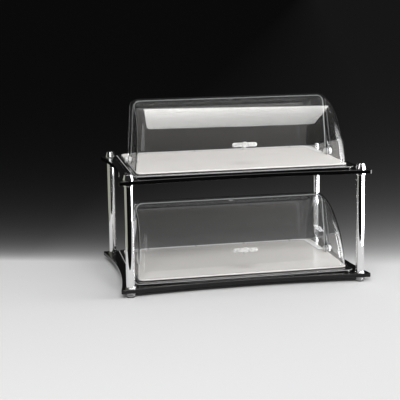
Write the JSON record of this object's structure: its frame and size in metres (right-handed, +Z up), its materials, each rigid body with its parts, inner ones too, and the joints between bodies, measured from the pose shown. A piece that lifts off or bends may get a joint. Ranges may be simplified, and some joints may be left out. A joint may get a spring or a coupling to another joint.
{
  "type": "countertop bread display bin",
  "caption": "Tiered countertop bread display bin: glossy black plates on chrome posts, each with a white deck under a clear hood whose front lid rolls back over a fixed rear shell.",
  "frame": {"origin": "centre of the footprint, on the surface that the feet rest on", "axes": "+Z up, +X to the right and along the hoods' pivot axes, -Y to the front where the lids open"},
  "size_m": [0.646, 0.4048, 0.4715],
  "materials": {
    "black_acrylic": "polished black sheet with a high gloss",
    "clear_plastic": "clear moulded sheet, glossy",
    "white_deck": "white, smooth, low gloss",
    "chrome": "polished chrome plate",
    "silver_handle": "satin silver",
    "steel_fastener": "plain turned steel",
    "rubber_pad": "matt grey rubber"
  },
  "bodies": {
    "frame": {"front_left_finial": "chrome", "front_left_foot": "chrome", "front_left_foot_pad": "rubber_pad", "front_left_lower_collar": "chrome", "front_left_post": "chrome", "front_left_tie_rod": "steel_fastener", "front_left_upper_collar": "chrome", "front_right_finial": "chrome", "front_right_foot": "chrome", "front_right_foot_pad": "rubber_pad", "front_right_lower_collar": "chrome", "front_right_post": "chrome", "front_right_tie_rod": "steel_fastener", "front_right_upper_collar": "chrome", "lower_base_screws": "steel_fastener", "lower_deck_panel": "white_deck", "lower_hood_base": "clear_plastic", "lower_left_pivot_knob": "chrome", "lower_left_pivot_pin": "chrome", "lower_pivot_spacers": "clear_plastic", "lower_plate": "black_acrylic", "lower_rear_shell": "clear_plastic", "lower_right_pivot_knob": "chrome", "lower_right_pivot_pin": "chrome", "lower_shell_rivets": "clear_plastic", "lower_stop_bumper": "clear_plastic", "rear_left_finial": "chrome", "rear_left_foot": "chrome", "rear_left_foot_pad": "rubber_pad", "rear_left_lower_collar": "chrome", "rear_left_post": "chrome", "rear_left_tie_rod": "steel_fastener", "rear_left_upper_collar": "chrome", "rear_right_finial": "chrome", "rear_right_foot": "chrome", "rear_right_foot_pad": "rubber_pad", "rear_right_lower_collar": "chrome", "rear_right_post": "chrome", "rear_right_tie_rod": "steel_fastener", "rear_right_upper_collar": "chrome", "upper_base_screws": "steel_fastener", "upper_deck_panel": "white_deck", "upper_hood_base": "clear_plastic", "upper_left_pivot_knob": "chrome", "upper_left_pivot_pin": "chrome", "upper_pivot_spacers": "clear_plastic", "upper_plate": "black_acrylic", "upper_rear_shell": "clear_plastic", "upper_right_pivot_knob": "chrome", "upper_right_pivot_pin": "chrome", "upper_shell_rivets": "clear_plastic", "upper_stop_bumper": "clear_plastic"},
    "lower_lid_body": {"lower_handle": "silver_handle", "lower_handle_screw": "steel_fastener", "lower_lid": "clear_plastic"},
    "upper_lid_body": {"upper_handle": "silver_handle", "upper_handle_screw": "steel_fastener", "upper_lid": "clear_plastic"}
  },
  "joints": [
    {"name": "lower_lid_hinge", "type": "hinge", "parent": "frame", "child": "lower_lid_body", "pos_m": [0, 0, 0.0435], "axis": [-1, 0, 0], "range_deg": [0, 67.5]},
    {"name": "upper_lid_hinge", "type": "hinge", "parent": "frame", "child": "upper_lid_body", "pos_m": [0, 0, 0.3145], "axis": [-1, 0, 0], "range_deg": [0, 67.5]}
  ]
}
